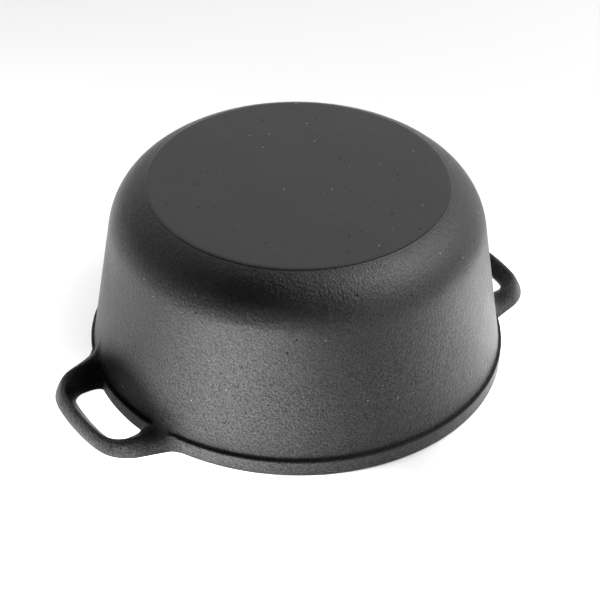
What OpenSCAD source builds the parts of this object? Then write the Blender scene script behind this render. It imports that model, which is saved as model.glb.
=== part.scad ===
// Cast iron dutch oven with two loop handles, upside down over its lid.
// Millimetres. The mouth's rim lies in the plane z = 0, the base is at the top, +Z runs up through the
// base along the pot's axis, and the two handles lie along X.

/* [Pot] */
// Outer radius of the rim band
rim_r = 130; // [120:1:170]
// Height of the pot from rim to base
pot_h = 123; // [95:1:150]
// How far in from the rim the edge of the flat base disc is
base_inset = 38.5; // [30:0.5:44]
// Height of the thicker band around the rim
band_h = 10.7; // [9:0.1:13]
// How far the band stands out from the wall
band_step = 1.7; // [1:0.1:2.5]
// Radius of the small hollow where the wall meets the band
band_cove_r = 1.5; // [0.8:0.1:2]
// Slope of the wall, from vertical
wall_taper = 8.7; // [6:0.1:11]
// Radius of the corner between wall and base
corner_r = 39.5; // [30:0.5:46]
// Thickness of the wall
wall_t = 4.5; // [3.5:0.1:6]
// Thickness of the base
base_t = 5.5; // [4:0.1:8]

/* [Lid seat] */
// Thickness of the lip that stands around the lid
lip_t = 4.5; // [3.5:0.1:6]
// Depth of the seat below the lip's edge
seat_d = 6; // [5:0.1:8]
// Width of the ledge that carries the lid
seat_w = 4; // [3:0.1:6]
// Gap between the lid's edge and the lip
lid_gap = 1.2; // [0.8:0.1:2]

/* [Handles] */
// Width of the finger gap, outward from the band
gap_w = 19.5; // [16:0.5:26]
// Length of the finger gap, along the rim
gap_len = 55; // [42:1:62]
// Radius of the finger gap's outer corners
gap_outer_r = 8; // [6:0.5:9]
// Radius of the finger gap's corners at the band
gap_inner_r = 6; // [3:0.5:7]
// Width of the grip bar at its foot
grip_w = 11.5; // [9:0.5:14]
// Height of the grip bar
grip_h = 10; // [9:0.5:14]
// Height of the grip bar's edge at the finger gap
gap_edge_h = 2; // [1.5:0.5:4]
// Lean of the grip's outer face over its height
grip_lean = 2.5; // [1:0.1:3.5]
// Distance across the two arms, half way along the finger gap
handle_w = 88; // [84:1:100]
// Radius of the handle's outer corners
handle_corner_r = 28; // [20:1:32]
// How far each arm splays out towards the rim
arm_splay = 17; // [12:1:22]
// Radius of the hollow corner between arm and rim, in plan
root_r = 12; // [8:1:16]
// Height of the arm's outer side
arm_side_h = 8; // [6:0.5:10]
// Height of the gusset where it meets the wall
gusset_h = 24; // [18:0.5:30]
// Distance of the gusset's top from the handle's middle
gusset_y = 39; // [34:0.5:42]
// Width of the gusset's rounded crest
gusset_crest_w = 3; // [2:0.5:5]
// Half angle between the gusset's two sides
gusset_side = 27; // [20:1:32]

/* [Lid] */
// Thickness of the lid's flange
flange_t = 5; // [4:0.1:5.5]
// Width of the flat flange
flange_w = 9; // [7:0.5:14]
// Rise of the dome above the flange
dome_rise = 19; // [12:1:26]
// Thickness of the dome
dome_t = 4.5; // [3.5:0.1:6]
// Radius of the raised boss under the knob
boss_r = 16; // [14:0.5:20]
// Height of the boss above the crown of the dome
boss_h = 2; // [1:0.5:4]
// Height of the small flat boss on the underside, under the crown
boss_under_h = 1; // [0.5:0.5:2]
// Rings of drip bumps on the underside
bump_rings = 4; // [1:1:5]
// Distance of the outer ring of drip bumps from the dome's foot
bump_inset = 12; // [9:1:18]
// Radius of a drip bump
bump_r = 2.4; // [1.5:0.1:3]
// How far a drip bump hangs down
bump_drop = 2.6; // [1.5:0.1:4]

/* [Knob] */
// Radius of the knob's head
knob_r = 21; // [18:0.5:26]
// Height of the knob
knob_h = 32; // [26:1:40]
// Height of the knob's head
knob_head_h = 15; // [12:0.5:18]
// Radius of the round edges of the knob's head
knob_edge_r = 5; // [3:0.5:5.5]
// Height of the knob's foot ring
knob_foot_h = 3; // [2:0.5:4]
// Radius of the knob's foot
knob_foot_r = 12; // [10:0.5:14]
// Radius of the knob's waist
knob_waist_r = 8.5; // [7:0.5:10]
// Thread radius of the knob's screw
screw_r = 3; // [2.5:0.5:3.5]
// Depth of the blind hole in the knob
knob_hole_d = 17; // [12:1:20]
// Clearance around the screw in the lid and the washer
screw_clearance = 0.4; // [0.3:0.1:0.8]
// Gap between the screw and the knob's threaded hole
thread_gap = 0.05; // [0.02:0.01:0.1]
// Radius of the screw's head
head_r = 6; // [5:0.5:7]
// Height of the screw's head
head_h = 3.8; // [3:0.1:5]
// Outer radius of the washer
washer_r = 9; // [8:0.5:12]
// Thickness of the washer
washer_t = 1.6; // [1:0.1:2]

/* [Hidden] */
$fn = 96;
IRON = [0.16, 0.16, 0.165];
STEEL = [0.78, 0.78, 0.8];

function len2(p) = sqrt(p.x * p.x + p.y * p.y);
function polar(r, a) = [r * cos(a), r * sin(a)];

// The pot's outline in the (radius, height) plane: the wall leans in from the band, and the corner arc is
// tangent to it and ends on the base disc's edge. "slide" is how far up the wall line the arc begins.
base_r = rim_r - base_inset;
wall_r = rim_r - band_step;
wall_dir = [-sin(wall_taper), cos(wall_taper)];
wall_out = [cos(wall_taper), sin(wall_taper)];
wall_foot = [wall_r, band_h];
to_base = wall_foot - corner_r * wall_out - [base_r, pot_h];
slide = -(to_base * wall_dir) - sqrt(pow(to_base * wall_dir, 2) - to_base * to_base + corner_r * corner_r);
corner_c = wall_foot + slide * wall_dir - corner_r * wall_out;
wall_top = corner_c + corner_r * wall_out;

// The cove stays narrower than the band's step.
cove_r = min(band_cove_r, band_step - 0.1);

// Wall's outer radius at a height, on the straight part
function wall_at(z) = wall_r - (z - band_h) * tan(wall_taper);

// Lid seat, inside the rim
lip_in_r = rim_r - lip_t;
ledge_in_r = lip_in_r - seat_w;
inner_shift = wall_t / cos(wall_taper);
// The inner wall line reaches the ledge's inner radius through a bevel under the ledge.
bevel_z = seat_d + 2;
bevel_end_z = bevel_z + 9;

// Handle in plan, for the handle on +X and its arm on +Y. The arm's outer side is the straight line whose
// outward normal points along (sin splay, cos splay), at a distance of arm_d from the pot's axis.
grip_r = rim_r + gap_w + grip_w;
arm_dir = 90 - arm_splay;
arm_n = polar(1, arm_dir);
arm_d = arm_n * [rim_r + gap_w / 2, handle_w / 2];
corner_a = arm_dir - acos((arm_d - handle_corner_r) / (grip_r - handle_corner_r));
arm_corner = polar(grip_r - handle_corner_r, corner_a);
arm_start = arm_corner + handle_corner_r * arm_n;
root_a = arm_dir - acos((arm_d + root_r) / (rim_r + root_r));
root_c = polar(rim_r + root_r, root_a);
arm_end = root_c - root_r * arm_n;
root_end = polar(rim_r, root_a);
// How far the arms run on past the rim's face, and how far their sides do
arm_sink = 8;
side_sink = 6;
arm_run = len2(arm_start - arm_end) + arm_sink;
// The grip's crest: its outer edge is taken off by this much, and it ends this far in from the outer face.
grip_edge = 1.5;
grip_land = 4;
// Bar and gussets begin this far below the rim's plane, where everything is cut off.
foot_sink = 1;

// Finger gap in plan: between the band's face and the grip, with rounded corners
gap_out_r = rim_r + gap_w;
gap_oc_y = gap_len / 2 - gap_outer_r;
gap_oc = [sqrt(pow(gap_out_r - gap_outer_r, 2) - gap_oc_y * gap_oc_y), gap_oc_y];
gap_ic_y = gap_len / 2 - gap_inner_r;
gap_ic = [sqrt(pow(rim_r + gap_inner_r, 2) - gap_ic_y * gap_ic_y), gap_ic_y];

// Gusset's crest, from inside the wall down to the grip's crest, part of the way round the handle's corner
crest_turn = 32;
crest_wall = polar(wall_at(gusset_h), asin(gusset_y / wall_at(gusset_h)));
crest_grip = arm_corner + polar(handle_corner_r - grip_lean - grip_land, arm_dir - crest_turn);
crest_run = len2(crest_grip - crest_wall);
crest_yaw = atan2(crest_grip.y - crest_wall.y, crest_grip.x - crest_wall.x);
crest_pitch = atan2(gusset_h - grip_h, crest_run);
// How far the gussets run on into the wall, and how far down their sides go
bury = 12;
gusset_drop = gusset_h + 7;

// Lid: the dome is a spherical shell that springs from the flange's inner edge
lid_r = lip_in_r - lid_gap;
dome_foot_r = lid_r - flange_w;
dome_r = (dome_foot_r * dome_foot_r + dome_rise * dome_rise) / (2 * dome_rise);
dome_c_z = flange_t + dome_rise - dome_r;
under_crown_z = dome_c_z + dome_r - dome_t;
boss_top_z = flange_t + dome_rise + boss_h;
under_boss_z = under_crown_z - boss_under_h;
hole_r = screw_r + screw_clearance;
function under_at(r) = dome_c_z + sqrt(pow(dome_r - dome_t, 2) - r * r);

// Screw: head, washer, lid and knob stack up along the axis
washer_z = under_boss_z - washer_t;
screw_top_z = boss_top_z + knob_hole_d - 2;

// Everything outside the pot, in the (radius, height) plane, handles apart
module pot_outline() {
    intersection() {
        union() {
            polygon([[0, 0], [rim_r, 0], [rim_r, band_h], wall_foot, wall_top, corner_c, [0, corner_c.y]]);
            translate(corner_c) circle(corner_r, $fn = 180);
            polygon([[0, 0], corner_c, [base_r, pot_h], [0, pot_h]]);
            band_cove();
        }
        square([rim_r + 1, pot_h]);
    }
}

// Hollow between the band's top and the wall
module band_cove() {
    difference() {
        translate([wall_r - 2, band_h - 0.5]) square([cove_r + 2, cove_r + 0.5]);
        translate([wall_r + cove_r, band_h + cove_r]) circle(cove_r);
    }
}

// The pot's hollow: mouth, lid seat, bevel under the ledge, tapered wall, corner and floor
module cavity_outline() {
    in_foot = [wall_at(bevel_end_z) - inner_shift, bevel_end_z];
    in_top = corner_c + (corner_r - wall_t) * wall_out;
    intersection() {
        union() {
            polygon([
                [0, -1], [lip_in_r, -1], [lip_in_r, seat_d], [ledge_in_r, seat_d],
                [ledge_in_r, bevel_z], in_foot, in_top, corner_c, [0, corner_c.y]
            ]);
            translate(corner_c) circle(corner_r - wall_t, $fn = 180);
            translate([0, corner_c.y]) square([corner_c.x, pot_h - corner_c.y]);
        }
        translate([0, -1]) square([rim_r, pot_h - base_t + 1]);
    }
}

// Handle's plan on +X, out to the grip's outer face
module handle_plan() {
    intersection() {
        circle(grip_r);
        polygon([[0, 0], polar(grip_r + 10, corner_a), polar(grip_r + 10, -corner_a)]);
    }
    for (side = [0, 1]) mirror([0, side]) {
        translate(arm_corner) circle(handle_corner_r);
        difference() {
            polygon([[0, 0], arm_corner, arm_start, arm_end, root_c, root_end]);
            translate(root_c) circle(root_r);
        }
    }
}

// Finger gap's plan
module gap_plan() {
    half = gap_len / 2;
    difference() {
        union() {
            intersection() {
                circle(gap_out_r);
                polygon([[0, 0], 2 * gap_oc, [2 * gap_oc.x, -2 * gap_oc.y]]);
            }
            for (side = [0, 1]) mirror([0, side]) {
                polygon([[0, 0], gap_oc, [gap_oc.x, half], [gap_ic.x, half], gap_ic]);
                translate(gap_oc) circle(gap_outer_r);
                translate(gap_ic) circle(gap_inner_r);
            }
        }
        circle(rim_r);
    }
}

// Section of the grip bar, with its outer face at x in the rim's plane: a wedge that is low at the gap
module bar_section(x) {
    top = grip_h - grip_edge;
    polygon([
        [x + grip_lean * foot_sink / top, -foot_sink], [x - grip_lean, top],
        [x - grip_lean - grip_edge, grip_h], [x - grip_lean - grip_land, grip_h],
        [x - grip_w, gap_edge_h], [x - grip_w, -foot_sink]
    ]);
}

// The bar that runs along the handle's outline: grip, corners, straight arms
module bar() {
    rotate([0, 0, -corner_a]) rotate_extrude(angle = 2 * corner_a, $fn = 180) bar_section(grip_r);
    for (side = [0, 1]) mirror([0, side, 0]) {
        translate(arm_corner) rotate([0, 0, corner_a])
            rotate_extrude(angle = arm_dir - corner_a) bar_section(handle_corner_r);
        translate(arm_start + arm_run * [-cos(arm_splay), sin(arm_splay)])
            rotate([0, 0, arm_dir]) rotate([90, 0, 0])
                linear_extrude(arm_run) translate([-handle_corner_r, 0]) bar_section(handle_corner_r);
    }
}

// A web that climbs from the grip up the wall, kept inside the handle's plan
module gussets() {
    half = gusset_crest_w / 2;
    spread = (gusset_drop - 1) * tan(gusset_side);
    intersection() {
        linear_extrude(2 * gusset_h) handle_plan();
        for (side = [0, 1]) mirror([0, side, 0])
            translate([crest_wall.x, crest_wall.y, gusset_h]) rotate([0, crest_pitch, crest_yaw])
                translate([-bury, 0, 0]) rotate([90, 0, 90])
                    linear_extrude(crest_run + bury)
                        polygon([
                            [-half, -1], [0, 0], [half, -1],
                            [half + spread, -gusset_drop], [-half - spread, -gusset_drop]
                        ]);
    }
}

// One loop handle on +X, with its finger gap
module handle() {
    difference() {
        union() {
            bar();
            gussets();
            linear_extrude(arm_side_h / 2) handle_plan();
            linear_extrude(arm_side_h) intersection() {
                handle_plan();
                for (side = [0, 1]) mirror([0, side])
                    polygon([
                        polar(rim_r - side_sink, root_a - 4), arm_end - side_sink * arm_n,
                        arm_end, root_c, root_end
                    ]);
            }
        }
        translate([0, 0, -1]) linear_extrude(gusset_h + 10) gap_plan();
        translate([0, 0, -gusset_h * 2]) linear_extrude(gusset_h * 2) square(3 * grip_r, center = true);
    }
}

module pot() {
    color(IRON) difference() {
        union() {
            rotate_extrude($fn = 180) pot_outline();
            handle();
            mirror([1, 0, 0]) handle();
        }
        rotate_extrude($fn = 180) cavity_outline();
    }
}

// Drip bumps in rings on the lid's underside
module drip_bumps() {
    for (ring = [1:bump_rings]) {
        r = (dome_foot_r - bump_inset) * ring / bump_rings;
        count = 6 * ring;
        for (i = [0:count - 1]) rotate([0, 0, 360 * (i + 0.5 * (ring % 2)) / count])
            translate([r, 0, under_at(r) - bump_drop + bump_r]) {
                sphere(bump_r, $fn = 24);
                cylinder(h = bump_drop, r = bump_r, $fn = 24);
            }
    }
}

module lid() {
    color(IRON) difference() {
        union() {
            rotate_extrude($fn = 180) {
                translate([dome_foot_r - 1.5, 0]) square([flange_w + 1.5, flange_t]);
                intersection() {
                    translate([0, dome_c_z]) difference() {
                        circle(dome_r, $fn = 360);
                        circle(dome_r - dome_t, $fn = 360);
                    }
                    square([dome_foot_r, boss_top_z]);
                }
                translate([0, under_boss_z]) square([boss_r, boss_top_z - under_boss_z]);
            }
            drip_bumps();
        }
        translate([0, 0, -1]) cylinder(h = boss_top_z + 2, r = hole_r);
    }
}

// Turned knob: a foot, a waist and a rounded head
module knob() {
    head_z = knob_h - knob_head_h;
    flare_r = (head_z - knob_foot_h) / 2;
    color(STEEL) translate([0, 0, boss_top_z]) difference() {
        rotate_extrude() {
            difference() {
                union() {
                    square([knob_foot_r, knob_foot_h]);
                    square([knob_waist_r + flare_r, head_z + 1]);
                    knob_head(head_z);
                }
                translate([knob_waist_r + flare_r, knob_foot_h + flare_r]) circle(flare_r);
                translate([knob_foot_r, knob_foot_h]) square([knob_r, 2 * flare_r]);
            }
        }
        translate([0, 0, -1]) cylinder(h = knob_hole_d + 1, r = screw_r + thread_gap);
    }
}

// Knob's head in the (radius, height) plane: a flat top with a round edge
module knob_head(z) {
    translate([0, z]) square([knob_r - knob_edge_r, knob_head_h]);
    translate([0, z + knob_edge_r]) square([knob_r, knob_head_h - 2 * knob_edge_r]);
    for (y = [z + knob_edge_r, knob_h - knob_edge_r])
        translate([knob_r - knob_edge_r, y]) circle(knob_edge_r);
}

module knob_screw() {
    recess_r = screw_r * 0.8;
    color(STEEL) difference() {
        union() {
            translate([0, 0, washer_z]) cylinder(h = screw_top_z - washer_z, r = screw_r);
            translate([0, 0, washer_z - head_h]) cylinder(h = head_h, r = head_r);
        }
        translate([0, 0, washer_z - head_h - 1]) cylinder(h = 1 + head_h / 2, r = recess_r, $fn = 6);
    }
}

module knob_washer() {
    color(STEEL) translate([0, 0, washer_z]) difference() {
        cylinder(h = washer_t, r = washer_r);
        translate([0, 0, -1]) cylinder(h = washer_t + 2, r = hole_r);
    }
}

pot();
lid();
knob();
knob_screw();
knob_washer();
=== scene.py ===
"""Looks of a cast iron dutch oven that stands upside down over its lid.

Blender works in metres. The shapes here are worked out in millimetres, in the CAD's own frame, and
turned into metres when a mesh is made.
"""
import math

import bpy
import numpy as np
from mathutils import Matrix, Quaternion, Vector


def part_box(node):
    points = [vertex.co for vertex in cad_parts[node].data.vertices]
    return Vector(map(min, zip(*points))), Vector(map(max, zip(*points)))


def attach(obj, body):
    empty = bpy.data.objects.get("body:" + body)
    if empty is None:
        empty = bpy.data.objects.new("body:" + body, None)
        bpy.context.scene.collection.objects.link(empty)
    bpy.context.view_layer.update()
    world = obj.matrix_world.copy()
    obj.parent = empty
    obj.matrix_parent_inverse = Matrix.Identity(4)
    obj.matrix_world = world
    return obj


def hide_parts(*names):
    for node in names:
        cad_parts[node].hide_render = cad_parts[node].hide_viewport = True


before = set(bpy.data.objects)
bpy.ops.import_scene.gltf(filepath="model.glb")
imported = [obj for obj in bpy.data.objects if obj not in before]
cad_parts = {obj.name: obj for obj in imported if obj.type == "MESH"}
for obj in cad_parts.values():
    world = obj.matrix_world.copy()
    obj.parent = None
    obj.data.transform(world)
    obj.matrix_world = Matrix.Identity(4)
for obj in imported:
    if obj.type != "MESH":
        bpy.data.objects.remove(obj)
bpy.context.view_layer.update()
MM = 0.001

# ---------------------------------------------------------------------------------------------- sizes, mm

POT_HIGH = [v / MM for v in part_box("pot")[1]]
RIM_R = round(POT_HIGH[1])  # outer radius of the rim band, which the frame's facets just miss
POT_H = POT_HIGH[2]
GRIP_R = POT_HIGH[0]  # outer face of the grips
BASE_R = RIM_R - 38.5  # radius of the flat base disc
BAND_H = 10.7  # height of the rim band
WALL_R = RIM_R - 1.7  # wall's outer radius at the band
WALL_TAPER = math.radians(8.7)
CORNER_R = 39.5  # radius of the corner between wall and base
BASE_CREASE = math.radians(21.6)  # slope of the corner where it meets the base disc
WALL_T = 4.5  # thickness of the wall
BASE_T = 5.5  # thickness of the base
LIP_R = RIM_R - 4.5  # inside of the lip round the lid's seat
LEDGE_R = LIP_R - 4  # inside of the ledge that the lid meets
SEAT_D = 6  # depth of the lid's seat

GRIP_W = 11.5  # width of the grip, between its outer face and the finger gap
GRIP_CREST = 9.8  # height of the grip's crest
CREST_IN = 4.5  # how far in from the outline the crest lies
SHOULDER = 5.2  # height of the grip's upright outer face
GAP_LIP = 1.8  # height of the grip's edge at the finger gap
GAP_R = GRIP_R - GRIP_W  # outer side of the finger gap
GAP_HALF = 27.5  # half the length of the finger gap
GAP_OUTER_CORNER = 8  # radius of its outer corners
HANDLE_CORNER = 28  # radius of the corners between grip and arms
ARM_SPLAY = math.radians(17)  # how far the arms spread towards the wall
ARM_HALF = 44  # half the width across the arms, at the middle of the finger gap
EAR_Y = 40  # how far from the handle's middle the arms' ears lie
EAR_FOOT = 8  # height from which an ear climbs the wall
EAR_CLIMB = 1.6  # slope of its crest up the wall
EAR_FALL = 1.15  # slope from its crest to both sides
DRAFT = 0.12  # slope of the handles' outer faces, so that they leave the mould
HANDLE_HALF = 66  # half the width of a handle with its fillets
HANDLE_TOP = 42  # height of a handle with its fillets
HANDLE_ROOT_R = RIM_R - 32  # as far in as a handle's fillets reach

SEGMENTS = 240  # facets round the axis
NET_STEP = 0.85  # grid step of the handles' mesh
GRAIN = 1.6  # width of the cast skin's grains
HIGH_GRAIN = 0.55  # how much of the grain is left high on the wall
DISC_GRAIN = 0.3  # and how much of that on the base disc, which is ground

# -------------------------------------------------------------------------------------------- mesh helpers


def unit(v):
    """The vector with length 1."""
    return v / np.linalg.norm(v)


def rounded(corners, step=15):
    """Points along an outline of (x, y, fillet radius) corners, each one rounded by an arc with a point at
    least every step degrees."""
    points = [np.array(corners[0][:2], float)]
    for before, here, after in zip(corners, corners[1:], corners[2:]):
        a, b, c = (np.array(p[:2], float) for p in (before, here, after))
        if not here[2]:
            points.append(b)
            continue
        u, v = unit(a - b), unit(c - b)
        half = math.acos(np.clip(u @ v, -1, 1)) / 2
        centre = b + unit(u + v) * here[2] / math.sin(half)
        start, end = (b + w * here[2] / math.tan(half) - centre for w in (u, v))
        sweep = math.pi - 2 * half
        count = max(2, math.ceil(math.degrees(sweep) / step))
        for t in np.linspace(0, 1, count + 1):
            turned = math.sin((1 - t) * sweep) * start + math.sin(t * sweep) * end
            points.append(centre + turned / math.sin(sweep))
    points.append(np.array(corners[-1][:2], float))
    return np.array(points)


def finer(points, step):
    """The same outline with points added so that none are further apart than step."""
    out = [points[0]]
    for a, b in zip(points, points[1:]):
        count = max(1, math.ceil(np.linalg.norm(b - a) / step))
        out += [a + (b - a) * (i + 1) / count for i in range(count)]
    return np.array(out)


def revolve(outline, segments=SEGMENTS):
    """Vertices and faces of an outline of (radius, height) turned round the Z axis. An end on the axis
    becomes a pole; an outline with no end there is closed on itself."""
    poles = outline[0][0] < 1e-6
    rings = outline[1:-1] if poles else outline
    angles = np.arange(segments) * 2 * math.pi / segments
    turn = np.stack([np.cos(angles), np.sin(angles)], axis=1)
    verts = [[r * c, r * s, z] for r, z in rings for c, s in turn]
    faces = []
    count = len(rings)
    for i in range(count - 1 if poles else count):
        low, high = i * segments, (i + 1) % count * segments
        for j in range(segments):
            k = (j + 1) % segments
            faces.append((low + j, low + k, high + k, high + j))
    if poles:
        for ring, pole in ((0, outline[0]), ((count - 1) * segments, outline[-1])):
            verts.append([0, 0, pole[1]])
            for j in range(segments):
                k = (j + 1) % segments
                first, second = (k, j) if ring == 0 else (j, k)
                faces.append((ring + first, ring + second, len(verts) - 1))
    return np.array(verts), faces


def solid(name, verts, faces):
    """A mesh object in metres from vertices in millimetres, with its faces outwards and smooth."""
    mesh = bpy.data.meshes.new(name)
    mesh.from_pydata((np.asarray(verts) * MM).tolist(), [], [tuple(map(int, f)) for f in faces])
    mesh.update()
    co = np.empty(len(mesh.vertices) * 3)
    mesh.vertices.foreach_get("co", co)
    co = co.reshape(-1, 3)
    mesh.calc_loop_triangles()
    tri = np.empty(len(mesh.loop_triangles) * 3, int)
    mesh.loop_triangles.foreach_get("vertices", tri)
    a, b, c = (co[tri.reshape(-1, 3)[:, i]] for i in range(3))
    if np.einsum("ij,ij->i", a, np.cross(b, c)).sum() < 0:
        mesh.flip_normals()
    mesh.shade_smooth()
    obj = bpy.data.objects.new(name, mesh)
    bpy.context.scene.collection.objects.link(obj)
    return obj


def settled(obj):
    """The object with its modifiers made part of its mesh."""
    graph = bpy.context.evaluated_depsgraph_get()
    mesh = bpy.data.meshes.new_from_object(obj.evaluated_get(graph))
    obj.modifiers.clear()
    old, obj.data = obj.data, mesh
    bpy.data.meshes.remove(old)
    mesh.name = obj.name
    return obj


def joined(obj, others):
    """The object united with the others into one closed mesh."""
    for other in others:
        boolean = obj.modifiers.new("join", "BOOLEAN")
        boolean.operation = "UNION"
        boolean.solver = "MANIFOLD"
        boolean.object = other
    settled(obj)
    for other in others:
        bpy.data.objects.remove(other)
    return obj


# ------------------------------------------------------------------------------ shapes from distance rules


def round_union(a, b, r):
    """Union of two signed distances, with a fillet of radius r where they meet."""
    return np.maximum(r, np.minimum(a, b)) - np.hypot(np.maximum(r - a, 0), np.maximum(r - b, 0))


def round_common(a, b, r):
    """Common part of two signed distances, with an edge of radius r where they meet."""
    return np.minimum(-r, np.maximum(a, b)) + np.hypot(np.maximum(r + a, 0), np.maximum(r + b, 0))


def gradient(field, points, h=0.05):
    """Slope of a field at the points, from its values at a distance h on both sides."""
    slopes = [(field(*(points + h * e).T) - field(*(points - h * e).T)) / (2 * h) for e in np.eye(3)]
    return np.stack(slopes, 1)


def net(field, low, high, step):
    """Vertices and faces round the region where field is negative: one vertex in each grid cell that the
    surface crosses, then drawn onto the surface itself."""
    draws, least_slope = 5, 0.05
    axes = [np.arange(a, b + step, step) for a, b in zip(low, high)]
    inside = field(*np.meshgrid(*axes, indexing="ij")) < 0
    count = sum(
        inside[i : i - 1 or None, j : j - 1 or None, k : k - 1 or None].astype(int)
        for i in (0, 1) for j in (0, 1) for k in (0, 1)
    )
    cells = np.argwhere((count > 0) & (count < 8))
    index = np.full(count.shape, -1)
    index[tuple(cells.T)] = np.arange(len(cells))
    points = np.array(low) + (cells + 0.5) * step
    faces = []
    for axis in range(3):
        u, v = (axis + 1) % 3, (axis + 2) % 3
        change = np.argwhere(np.diff(inside.astype(int), axis=axis))
        change = change[(change[:, u] > 0) & (change[:, v] > 0)]
        change = change[(change[:, u] < count.shape[u]) & (change[:, v] < count.shape[v])]
        du, dv = np.eye(3, dtype=int)[u], np.eye(3, dtype=int)[v]
        corners = ((0, 0), (1, 0), (1, 1), (0, 1))
        quad = np.stack([index[tuple((change - s * du - t * dv).T)] for s, t in corners], 1)
        leaving = inside[tuple(change.T)]
        faces += np.where(leaving[:, None], quad, quad[:, ::-1]).tolist()
    for _ in range(draws):
        slope = gradient(field, points)
        move = slope * (field(*points.T) / np.maximum((slope**2).sum(1), least_slope))[:, None]
        length = np.maximum(np.linalg.norm(move, axis=1), 1e-9)
        points = points - move * np.minimum(1, step / length)[:, None]
    return points, faces


# ------------------------------------------------------------------------------------------------ the pot


def outer_corners():
    """The pot's outside from the middle of its base to the foot of the rim band. The corner's arc ends where
    the fillet of the crease round the base begins."""
    along = np.array([-math.sin(WALL_TAPER), math.cos(WALL_TAPER)])
    fall = np.array([math.cos(BASE_CREASE), -math.sin(BASE_CREASE)])
    foot, edge = np.array([WALL_R, BAND_H]), np.array([BASE_R, POT_H])
    reach = np.linalg.solve(np.stack([along, -fall], 1), edge - foot)
    corner = foot + reach[0] * along
    crease_r = 4
    corner_turn = math.pi / 2 - WALL_TAPER - BASE_CREASE
    spare = crease_r * math.tan(BASE_CREASE / 2) / math.tan(corner_turn / 2)
    return [
        (0, POT_H, 0), (*edge, crease_r), (*corner, CORNER_R - spare), (WALL_R, BAND_H, 2.2),
        (RIM_R, BAND_H, 1.5), (RIM_R, 0, 1.2),
    ]


def inner_corners():
    """The pot's inside from its foot up through the lid's seat to the middle of its floor."""
    slope = math.tan(WALL_TAPER)
    inset = WALL_R - WALL_T / math.cos(WALL_TAPER)
    bevel_z, floor_z = SEAT_D + 11, POT_H - BASE_T
    return [
        (LIP_R, 0, 1), (LIP_R, SEAT_D, 0.8), (LEDGE_R, SEAT_D, 0.8), (LEDGE_R, SEAT_D + 2, 1),
        (inset - (bevel_z - BAND_H) * slope, bevel_z, 6), (inset - (floor_z - BAND_H) * slope, floor_z, 32),
        (0, floor_z, 0),
    ]


def pot_body():
    """The pot without its handles, turned from one closed outline."""
    outline = finer(rounded(outer_corners() + inner_corners(), step=6), 3)
    return solid("pot_body", *revolve(outline))


def body_distance(r, z):
    """Signed distance from the pot's outside, with the rim band carried straight down."""
    line = rounded(outer_corners()[:-1] + [(RIM_R, -20, 0)], step=6)[::-1]
    line = line[: np.argmax(line[:, 1] > HANDLE_TOP) + 1]
    best = np.full(r.shape, 1e9)
    for a, b in zip(line, line[1:]):
        d = b - a
        t = np.clip(((r - a[0]) * d[0] + (z - a[1]) * d[1]) / (d @ d), 0, 1)
        best = np.minimum(best, np.hypot(r - a[0] - t * d[0], z - a[1] - t * d[1]))
    return np.where(r > np.interp(z, line[:, 1], line[:, 0]), best, -best)


def handle_outline(x, side):
    """Signed distance in plan from one handle's outer outline: grip arc, round corners, splayed arms."""
    normal = np.array([math.sin(ARM_SPLAY), math.cos(ARM_SPLAY)])
    arm_d = normal @ [(RIM_R + GAP_R) / 2, ARM_HALF]
    inner_r = GRIP_R - HANDLE_CORNER
    arm_angle = math.pi / 2 - ARM_SPLAY
    angle = arm_angle - math.acos((arm_d - HANDLE_CORNER) / inner_r)
    centre = inner_r * np.array([math.cos(angle), math.sin(angle)])
    arm = normal[0] * x + normal[1] * side - arm_d + HANDLE_CORNER
    sides = np.maximum(np.hypot(x, side) - inner_r, arm)
    turn = np.arctan2(side - centre[1], x - centre[0])
    corner = np.hypot(x - centre[0], side - centre[1])
    return np.where((turn > angle) & (turn < arm_angle), corner, sides) - HANDLE_CORNER


def loop_distance(x, y, z):
    """Signed distance, near enough, from the loop of a handle on +X. Its top falls from a crest to a
    shoulder over the outer face and to a thin lip at the finger gap. Both rise towards the wall."""
    crest_rise, shoulder_rise, steepness = 2.3, 3.6, 1.4
    outer_edge_r, crest_edge_r, lip_edge_r = 2.2, 2.5, 1
    r, side = np.hypot(x, y), np.abs(y)
    outline = handle_outline(x, side)
    gap = round_common(r - GAP_R, side - GAP_HALF, GAP_OUTER_CORNER)
    gap = np.maximum(gap, RIM_R - 6 - r)
    crest = GRIP_CREST + crest_rise * np.clip((RIM_R + 12 - r) / 14, 0, 1) ** 2
    shoulder = SHOULDER + shoulder_rise * np.clip((RIM_R + 22 - x) / 27, 0, 1)
    across = np.maximum(gap - outline - CREST_IN, 1)
    outer_top = (z - shoulder + (crest - shoulder) * outline / CREST_IN) / steepness
    inner_top = (z - GAP_LIP - (crest - GAP_LIP) * gap / across) / steepness
    shape = round_common(outline - 0.4 + DRAFT * z, outer_top, outer_edge_r)
    shape = round_common(shape, inner_top, crest_edge_r)
    return round_common(shape, -gap, lip_edge_r)


def ear_distance(x, y, z):
    """Signed distance, near enough, from the two ears in which the handle's arms run up the wall. An ear's
    crest starts to climb softly a little way outside the rim."""
    soft_start, soft_crest, steepness, edge_r = 3, 2, 2.2, 3
    side, inward = np.abs(y), RIM_R + 5 - np.hypot(x, y)
    crest = EAR_FOOT + EAR_CLIMB * (inward + np.hypot(inward, soft_start)) / 2
    fall = EAR_FALL * (np.hypot(side - EAR_Y, soft_crest) - soft_crest)
    ear = (z - crest + fall) / steepness
    return round_common(ear, handle_outline(x, side) + 1.5 + DRAFT * z, edge_r)


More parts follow.
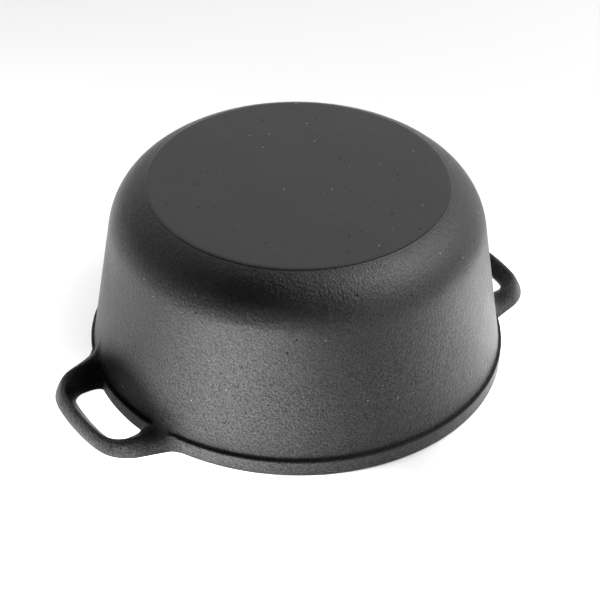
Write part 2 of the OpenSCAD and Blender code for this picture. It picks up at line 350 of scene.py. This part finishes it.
def handle_with_root(x, y, z):
    """One handle with its fillets and a thin skin of the pot's wall behind it, which the pot's own wall
    covers by a hair everywhere but at the handle."""
    sink, skin, underside = 0.2, 2.4, 0.1
    loop_fillet, arm_fillet, ear_fillet, foot_edge_r = 5.5, 6, 1.8, 1.2
    wall = body_distance(np.hypot(x, y), z) + sink
    loop = loop_distance(x, y, z)
    eared = round_union(loop, ear_distance(x, y, z), arm_fillet)
    shape = np.minimum(round_union(loop, wall, loop_fillet), round_union(eared, wall, ear_fillet))
    shape = np.maximum(shape, -wall - skin)
    shape = np.maximum(shape, np.maximum(np.abs(y) - HANDLE_HALF, z - HANDLE_TOP))
    return round_common(shape, underside - z, foot_edge_r)


def handle_normals(obj):
    """Gives the vertices round both handles the normals of the handles' own rule, so that the joints of the
    meshes don't show in the shading."""
    edge, foot, skin, sample = 1, 0.2, 0.25, 0.15
    mesh = obj.data
    count = len(mesh.vertices)
    place, normal = np.empty(count * 3), np.empty(count * 3)
    mesh.vertices.foreach_get("co", place)
    mesh.vertices.foreach_get("normal", normal)
    place, normal = place.reshape(-1, 3) / MM, normal.reshape(-1, 3)
    turn = np.where(place[:, :1] < 0, [[-1, -1, 1]], [[1, 1, 1]])
    local = place * turn
    near = (local[:, 0] > HANDLE_ROOT_R) & (np.abs(local[:, 1]) < HANDLE_HALF - edge)
    near &= (local[:, 2] > foot) & (local[:, 2] < HANDLE_TOP - edge)
    index = np.flatnonzero(near)
    index = index[np.abs(handle_with_root(*local[index].T)) < skin]
    slope = gradient(handle_with_root, local[index], sample)
    slope /= np.linalg.norm(slope, axis=1)[:, None]
    normal[index] = slope * turn[index]
    mesh.normals_split_custom_set_from_vertices(normal.tolist())


def pot():
    """The pot's casting: its turned body with the two handles grown out of it."""
    margin = 3
    low = (HANDLE_ROOT_R, -HANDLE_HALF - margin, -margin)
    high = (GRIP_R + margin, HANDLE_HALF + margin, HANDLE_TOP + margin)
    verts, faces = net(handle_with_root, low, high, NET_STEP)
    handles = [solid("handle", v, faces) for v in (verts, verts * [-1, -1, 1])]
    obj = joined(pot_body(), handles)
    obj.name = "pot_casting"
    handle_normals(obj)
    return obj


# --------------------------------------------------------------------------------------------- lid and knob

LID_R = LIP_R - 1.2  # the flange's outer radius, a hair clear of the seat's lip
FLANGE_T = 5
FLANGE_W = 9
DOME_T = 4.5
BOSS_H = 2
BOSS_R = 16
HOLE_R = 3.4  # the screw's hole
BOSS_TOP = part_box("lid")[1][2] / MM
DOME_FOOT_R = LID_R - FLANGE_W
DOME_RISE = BOSS_TOP - BOSS_H - FLANGE_T
DOME_R = (DOME_FOOT_R**2 + DOME_RISE**2) / (2 * DOME_RISE)
DOME_Z = FLANGE_T + DOME_RISE - DOME_R
UNDER_BOSS = BOSS_TOP - BOSS_H - DOME_T - 1  # face under the boss, where the washer sits


def dome(radius, shift=0.0):
    """Height of the dome's top at a radius, or of a surface at a depth of shift below it."""
    return DOME_Z + math.sqrt((DOME_R - shift) ** 2 - radius**2)


def lid_body():
    """The lid without its drip bumps: flange, dome, boss and the screw's hole."""
    step = 4
    upper = [(r, dome(r), 0) for r in np.arange(DOME_FOOT_R - step, BOSS_R + 3, -step)]
    lower = [(r, dome(r, DOME_T), 0) for r in np.arange(BOSS_R + 5, DOME_FOOT_R - 4, step)]
    corners = [
        (LID_R, 2, 0), (LID_R, FLANGE_T, 1.2), (DOME_FOOT_R + 1, FLANGE_T, 6), *upper,
        (BOSS_R + 2, dome(BOSS_R + 2), 1.5), (BOSS_R, BOSS_TOP, 1), (HOLE_R, BOSS_TOP, 0.4),
        (HOLE_R, UNDER_BOSS, 0.4), (BOSS_R, UNDER_BOSS, 0.8), (BOSS_R + 1, dome(BOSS_R + 1, DOME_T), 0),
        *lower, (DOME_FOOT_R - 1.5, 0, 1), (LID_R, 0, 1), (LID_R, 2, 0),
    ]
    return solid("lid_body", *revolve(finer(rounded(corners)[:-1], 4)))


def bump_nodes():
    """Node group that hangs a round bump on every point, no two of quite the same size."""
    group = bpy.data.node_groups.new("drip_bumps", "GeometryNodeTree")
    for name, kind in (
        ("Points", "Geometry"), ("Radius", "Float"), ("Smallest", "Float"), ("Seed", "Int"),
        ("Material", "Material"),
    ):
        group.interface.new_socket(name, in_out="INPUT", socket_type="NodeSocket" + kind)
    group.interface.new_socket("Bumps", in_out="OUTPUT", socket_type="NodeSocketGeometry")
    given = add(group, "NodeGroupInput").outputs
    ball = add(group, "GeometryNodeMeshUVSphere", {"Segments": 20, "Rings": 12, "Radius": given["Radius"]})
    size = add(group, "FunctionNodeRandomValue", {
        "Min": given["Smallest"], "Max": 1.0, "Seed": given["Seed"],
    }, data_type="FLOAT")
    put = add(group, "GeometryNodeInstanceOnPoints", {
        "Points": given["Points"], "Instance": ball, "Scale": size,
    })
    real = add(group, "GeometryNodeRealizeInstances", {"Geometry": put})
    coat = add(group, "GeometryNodeSetMaterial", {"Geometry": real, "Material": given["Material"]})
    add(group, "NodeGroupOutput", {"Bumps": coat})
    return group


def drip_bumps(made):
    """Rings of bumps on the lid's underside, from which the condensed steam drips back."""
    radius, drop, inset, rings = 2.4, 2.6, 12, 4
    points = []
    for ring in range(1, rings + 1):
        r = (DOME_FOOT_R - inset) * ring / rings
        for i in range(6 * ring):
            a = math.tau * (i + 0.5 * (ring % 2)) / (6 * ring)
            points.append((r * math.cos(a), r * math.sin(a), dome(r, DOME_T) - drop + radius))
    bumps = solid("drip_bumps", points, [])
    group = bump_nodes()
    modifier = bumps.modifiers.new("drip_bumps", "NODES")
    modifier.node_group = group
    values = {"Radius": radius * MM, "Smallest": 0.9, "Seed": 5, "Material": made}
    for socket in group.interface.items_tree:
        if socket.name in values:
            modifier[socket.identifier] = values[socket.name]
    return settled(bumps)


def lid(made):
    """The lid's casting."""
    obj = joined(lid_body(), [drip_bumps(made)])
    obj.name = "lid_casting"
    return obj


def knob():
    """The lid's knob: crowned head, waist and foot, with a blind hole for its screw."""
    low, high = ([v / MM for v in corner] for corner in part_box("knob"))
    head_r, z0, z1 = high[0], low[2], high[2]
    waist_r, foot_r, head_h, foot_h, hole_r, hole_d = 8.5, 12, 15, 3, 3.05, 17
    under = z1 - head_h
    corners = [
        (0, z1, 0), (head_r * 0.55, z1 - 0.3, 12), (head_r, z1 - 3.4, 4.5), (head_r, under + 2, 3.5),
        (waist_r + 1, under - 1, 5), (waist_r, z0 + foot_h + 1.5, 3), (foot_r, z0 + foot_h, 0.8),
        (foot_r, z0, 0.5), (hole_r, z0, 0.4), (hole_r, z0 + hole_d, 0), (0, z0 + hole_d, 0),
    ]
    return solid("knob_turning", *revolve(finer(rounded(corners, step=8), 1.5), 128))


# ------------------------------------------------------------------------------------------------ materials


def linear(colour):
    """Linear RGBA of an sRGB hex colour."""
    parts = [int(colour[i : i + 2], 16) / 255 for i in (1, 3, 5)]
    return (*(c / 12.92 if c <= 0.04045 else ((c + 0.055) / 1.055) ** 2.4 for c in parts), 1)


def add(tree, kind, inputs=None, **settings):
    """Adds a node. inputs gives each socket, by name or number, a value, an output to link to it, or a node,
    of which the first output in use is linked to it."""
    node = tree.nodes.new(kind)
    for name, value in settings.items():
        setattr(node, name, value)
    shown = {s.name: i for i, s in reversed(list(enumerate(node.inputs))) if s.enabled}
    for socket, value in (inputs or {}).items():
        socket = shown[socket] if isinstance(socket, str) else socket
        if isinstance(value, bpy.types.Node):
            value = next(s for s in value.outputs if s.enabled)
        if isinstance(value, bpy.types.NodeSocket):
            tree.links.new(value, node.inputs[socket])
        else:
            node.inputs[socket].default_value = value
    return node


def material(name):
    """An empty node material, and its tree."""
    made = bpy.data.materials.new(name)
    made.use_nodes = True
    made.node_tree.nodes.clear()
    return made, made.node_tree


def finish_material(tree, **shader):
    """Ends a material in a Principled shader with these inputs."""
    bsdf = add(tree, "ShaderNodeBsdfPrincipled", {k.replace("_", " "): v for k, v in shader.items()})
    add(tree, "ShaderNodeOutputMaterial", {"Surface": bsdf})


def per_mm(size):
    """Noise scale whose features are about this many millimetres across."""
    return 1 / (size * MM)


def from_axis(tree, place):
    """Distance of each point from the pot's axis."""
    flat = add(tree, "ShaderNodeVectorMath", {0: place, 1: (1, 1, 0)}, operation="MULTIPLY")
    return add(tree, "ShaderNodeVectorMath", {0: flat}, operation="LENGTH")


def dots(tree, place, apart, core, edge, inside, outside):
    """Mask with one value inside scattered dots, about this many millimetres apart, and another outside.
    It fades between the radii core and edge, which are shares of that distance."""
    cells = add(tree, "ShaderNodeTexVoronoi", {"Vector": place, "Scale": per_mm(apart)})
    return add(tree, "ShaderNodeMapRange", {
        "Value": cells, "From Min": core, "From Max": edge, "To Min": inside, "To Max": outside,
    })


def round_patch(tree, place, centre, half, edge, low):
    """Mask that is low in an ellipsoid with this centre and half sizes, in millimetres, and in its mirror
    image on the pot's other side, and 1 elsewhere."""
    mirrored = add(tree, "ShaderNodeVectorMath", {0: place}, operation="ABSOLUTE")
    centre, half = ([v * MM for v in size] for size in (centre, half))
    offset = add(tree, "ShaderNodeVectorMath", {0: mirrored, 1: centre}, operation="SUBTRACT")
    scaled = add(tree, "ShaderNodeVectorMath", {0: offset, 1: half}, operation="DIVIDE")
    length = add(tree, "ShaderNodeVectorMath", {0: scaled}, operation="LENGTH")
    return add(tree, "ShaderNodeMapRange", {
        "Value": length, "From Min": 1 - edge, "From Max": 1 + edge, "To Min": low, "To Max": 1.0,
    }, interpolation_type="SMOOTHSTEP")


def crease_shade_mask(tree, place, rise):
    """Mask that paints shade into the crease between the wall and the rim band: low there, and 1 elsewhere.
    """
    out = add(tree, "ShaderNodeMath", {0: from_axis(tree, place), 1: -(RIM_R - 1.2) * MM})
    up = add(tree, "ShaderNodeMath", {0: rise, 1: -(BAND_H + 0.6) * MM})
    near = add(tree, "ShaderNodeCombineXYZ", {"X": out, "Y": up})
    near = add(tree, "ShaderNodeVectorMath", {0: near}, operation="LENGTH")
    return add(tree, "ShaderNodeMapRange", {
        "Value": near, "From Min": 0.6 * MM, "From Max": 2.2 * MM, "To Min": 0.15, "To Max": 1.0,
    })


def grain_depth(tree, rise):
    """Share of the grain that is left: all of it low on the wall, less high up, least on the base disc."""
    disc = add(tree, "ShaderNodeMapRange", {
        "Value": rise, "From Min": (POT_H - 1.2) * MM, "From Max": (POT_H - 0.4) * MM,
        "To Min": 1.0, "To Max": DISC_GRAIN,
    }, interpolation_type="SMOOTHSTEP")
    wall = add(tree, "ShaderNodeMapRange", {
        "Value": rise, "From Min": 50 * MM, "From Max": 95 * MM, "To Min": 1.0, "To Max": HIGH_GRAIN,
    })
    return add(tree, "ShaderNodeMath", {0: disc, 1: wall}, operation="MULTIPLY")


def cast_relief(tree, place, depth, pinholes):
    """Height of the cast skin: the sand's grain over broad lumps, with pinholes sunk in it."""
    grain = add(tree, "ShaderNodeTexNoise", {
        "Vector": place, "Scale": per_mm(GRAIN), "Detail": 3.0, "Roughness": 0.65,
    })
    lumps = add(tree, "ShaderNodeTexNoise", {"Vector": place, "Scale": per_mm(7), "Detail": 1.5})
    height = add(tree, "ShaderNodeMath", {0: grain, 1: 0.85}, operation="MULTIPLY")
    for layer, share in ((lumps, 0.25), (pinholes, 0.2)):
        height = add(tree, "ShaderNodeMath", {0: layer, 1: share, 2: height}, operation="MULTIPLY_ADD")
    return add(tree, "ShaderNodeMath", {0: height, 1: depth}, operation="MULTIPLY")


def sheen_with_painted_shade(tree, place, rise, depth, pinholes):
    """Specular level of the oiled skin, with painted shade and highlight in it: spotted where the grain is
    deep, for its tiny hollows and peaks, and lowered in the pinholes, round the handles' roots and in the
    crease above the band, where shade falls."""
    # painted shade and highlight in spots, for the grain's shadowed hollows and lit peaks
    pit_shade_noise = add(tree, "ShaderNodeTexNoise", {"Vector": place, "Scale": per_mm(1.1), "Detail": 1.0})
    painted_pit_speckle = add(tree, "ShaderNodeMapRange", {
        "Value": pit_shade_noise, "From Min": 0.3, "From Max": 0.7, "To Min": 0.25, "To Max": 0.75,
    })
    sheen = add(tree, "ShaderNodeMix", {"Factor": depth, "A": 0.5, "B": painted_pit_speckle})
    # painted shade cast by the handles on the wall round their roots
    painted_handle_shade = round_patch(tree, place, (RIM_R, 0, 6), (21, 53, 36), 0.35, 0.08)
    # lowering the specular level in these masks paints shade in the pinholes, round the handles' roots and
    # in the crease
    for mask in (pinholes, painted_handle_shade, crease_shade_mask(tree, place, rise)):
        sheen = add(tree, "ShaderNodeMath", {0: sheen, 1: mask}, operation="MULTIPLY")
    return sheen


def seasoned_iron():
    """Sand cast grey iron under baked-on oil: near black and satin. The sand leaves a grain of one to two
    millimetres, with pinholes and a few bare specks, and the oil dries a little glossier in some places."""
    made, tree = material("seasoned_sand_cast_iron")
    place = add(tree, "ShaderNodeTexCoord").outputs["Object"]
    rise = add(tree, "ShaderNodeSeparateXYZ", {0: place}).outputs["Z"]
    depth = grain_depth(tree, rise)
    # the pinholes sink the relief, and the lower specular level in them is painted shade
    pinholes = dots(tree, place, 9, 0.02, 0.1, 0.0, 1.0)
    bare = dots(tree, place, 11, 0.025, 0.05, 1.0, 0.0)
    blotch = add(tree, "ShaderNodeTexNoise", {
        "Vector": place, "Scale": per_mm(55), "Detail": 4.0, "Roughness": 0.6,
    })
    relief = cast_relief(tree, place, depth, pinholes)
    bump = add(tree, "ShaderNodeBump", {"Height": relief, "Distance": 1 * MM, "Strength": 1.0})
    rough = add(tree, "ShaderNodeMapRange", {
        "Value": blotch, "From Min": 0.3, "From Max": 0.7, "To Min": 0.29, "To Max": 0.41,
    })
    tint = add(tree, "ShaderNodeMix", {
        "Factor": blotch, "A": linear("#0b0b0b"), "B": linear("#111111"),
    }, data_type="RGBA")
    tint = add(tree, "ShaderNodeMix", {"Factor": bare, "A": tint, "B": linear("#8e8e8a")}, data_type="RGBA")
    # the specular level carries painted shade round the handles, in the crease and in the pinholes, and
    # painted spots of shade and highlight in the grain
    finish_material(
        tree, Base_Color=tint, Roughness=rough, Normal=bump, IOR=1.5,
        Specular_IOR_Level=sheen_with_painted_shade(tree, place, rise, depth, pinholes),
    )
    return made


def turned_steel(name, colour, roughness, groove_mm):
    """Stainless bar turned on a lathe: bright, with rings round its axis that draw out the highlight. The
    grooves are drawn coarser than a lathe's so that they show."""
    made, tree = material(name)
    place = add(tree, "ShaderNodeTexCoord").outputs["Object"]
    rise = add(tree, "ShaderNodeSeparateXYZ", {0: place}).outputs["Z"]
    rings = add(tree, "ShaderNodeCombineXYZ", {"X": from_axis(tree, place), "Z": rise})
    grooves = add(tree, "ShaderNodeTexNoise", {"Vector": rings, "Scale": per_mm(groove_mm), "Detail": 2.0})
    smears = add(tree, "ShaderNodeTexNoise", {"Vector": place, "Scale": per_mm(14), "Detail": 3.0})
    rough = add(tree, "ShaderNodeMapRange", {
        "Value": smears, "To Min": roughness, "To Max": roughness + 0.14,
    })
    bump = add(tree, "ShaderNodeBump", {"Height": grooves, "Distance": 0.04 * MM, "Strength": 0.6})
    finish_material(tree, Base_Color=linear(colour), Roughness=rough, Normal=bump, Metallic=1.0)
    return made


def dressed(obj, made):
    """Gives the whole object one material."""
    obj.data.materials.clear()
    obj.data.materials.append(made)
    obj.data.polygons.foreach_set("material_index", [0] * len(obj.data.polygons))


# ---------------------------------------------------------------------------------------------------- stage


def pale_floor():
    """A wide pale floor under the rim."""
    half = 4000
    verts = [(-half, -half, 0), (half, -half, 0), (half, half, 0), (-half, half, 0)]
    floor = solid("floor", verts, [(0, 1, 2, 3)])
    made, tree = material("pale_painted_floor")
    place = add(tree, "ShaderNodeTexCoord").outputs["Object"]
    cloud = add(tree, "ShaderNodeTexNoise", {"Vector": place, "Scale": per_mm(330), "Detail": 2.0})
    rough = add(tree, "ShaderNodeMapRange", {"Value": cloud, "To Min": 0.75, "To Max": 0.85})
    finish_material(tree, Base_Color=linear("#f4f4f4"), Roughness=rough)
    dressed(floor, made)
    return floor


def soft_light(name, place, aim, size, watts):
    """A rectangular studio light at a place, in metres, turned towards its aim."""
    data = bpy.data.lights.new(name, "AREA")
    data.shape = "RECTANGLE"
    data.size, data.size_y = size
    data.energy = watts
    obj = bpy.data.objects.new(name, data)
    obj.visible_camera = False
    obj.location = place
    obj.rotation_mode = "QUATERNION"
    obj.rotation_quaternion = (Vector(aim) - Vector(place)).to_track_quat("-Z", "Y")
    bpy.context.scene.collection.objects.link(obj)
    return obj


def camera():
    """The camera, with a long lens and a hair of roll."""
    data = bpy.data.cameras.new("camera")
    data.lens, data.sensor_width = 124.8, 36
    obj = bpy.data.objects.new("camera", data)
    place, aim = Vector((-0.5844, -0.8796, 0.8104)), Vector((0.0017, -0.0011, 0.0333))
    obj.location = place
    obj.rotation_mode = "QUATERNION"
    roll = Quaternion((0, 0, 1), math.radians(0.7147))
    obj.rotation_quaternion = (aim - place).to_track_quat("-Z", "Y") @ roll
    bpy.context.scene.collection.objects.link(obj)
    bpy.context.scene.camera = obj


def toward(azimuth, elevation, distance=1.0):
    """Point at a distance from the pot's middle, in a direction given in degrees."""
    a, e = math.radians(azimuth), math.radians(elevation)
    flat = distance * math.cos(e)
    return (flat * math.cos(a), flat * math.sin(a), distance * math.sin(e))


def room_light(bright_side, dark_side):
    """A white room that gets brighter towards one side and has another side black. Each side is given as
    azimuth and elevation."""
    world = bpy.data.worlds.new("studio")
    world.use_nodes = True
    tree = world.node_tree
    tree.nodes.clear()
    place = add(tree, "ShaderNodeTexCoord").outputs["Generated"]
    brighter, darker = (
        add(tree, "ShaderNodeVectorMath", {0: place, 1: toward(*side)}, operation="DOT_PRODUCT")
        for side in (bright_side, dark_side)
    )
    level = add(tree, "ShaderNodeMapRange", {
        "Value": brighter, "From Min": -0.75, "From Max": 1.0, "To Min": 0.45, "To Max": 1.3,
    })
    black_within, white_beyond = (math.cos(math.radians(a)) for a in (32, 56))
    fade = add(tree, "ShaderNodeMapRange", {
        "Value": darker, "From Min": white_beyond, "From Max": black_within, "To Min": 1.0, "To Max": 0.005,
    }, interpolation_type="SMOOTHSTEP")
    strength = add(tree, "ShaderNodeMath", {0: level, 1: fade}, operation="MULTIPLY")
    white = add(tree, "ShaderNodeBackground", {"Color": (1, 1, 1, 1), "Strength": strength})
    add(tree, "ShaderNodeOutputWorld", {"Surface": white})
    bpy.context.scene.world = world


def table_light(name, azimuth, reach, height, size, watts, spread, table):
    """A light that hangs over the table and shines on the table alone, so that the pot mirrors a bright
    patch of table."""
    x, y, _ = toward(azimuth, 0, reach)
    obj = soft_light(name, (x, y, height), (x, y, 0), (size, size), watts)
    obj.data.spread = math.radians(spread)
    obj.visible_glossy = False
    obj.light_linking.receiver_collection = table


# ---------------------------------------------------------------------------------------------------- build

bpy.context.scene.view_settings.view_transform = "Standard"
camera()
room_light((-20, 0), (-147, 42))
soft_light("key_box", toward(-40, 50, 1.6), (0, 0, 0.05), (1.4, 1.2), 18)
table = bpy.data.collections.new("table")
table.objects.link(pale_floor())
table_light("back_table_light", 163, 0.36, 0.4, 0.3, 1.35, 130, table)
table_light("left_table_light", -150, 0.26, 0.3, 0.1, 1.3, 62, table)
table_light("right_table_light", -36, 0.21, 0.25, 0.1, 0.28, 64, table)

IRON = seasoned_iron()
KNOB_STEEL = turned_steel("turned_stainless_steel", "#c9c9cb", 0.2, 0.5)
FASTENER_STEEL = turned_steel("cold_headed_stainless_steel", "#b4b4b6", 0.32, 0.8)

for obj, body, node, slot, made in (
    (pot(), "pot", "pot", "seasoned_iron", IRON),
    (lid(IRON), "lid", "lid", "seasoned_iron", IRON),
    (knob(), "lid", "knob", "turned_steel", KNOB_STEEL),
):
    dressed(obj, made)
    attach(obj, body)
    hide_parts(node)
for node in ("knob_screw", "knob_washer"):
    dressed(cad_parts[node], FASTENER_STEEL)
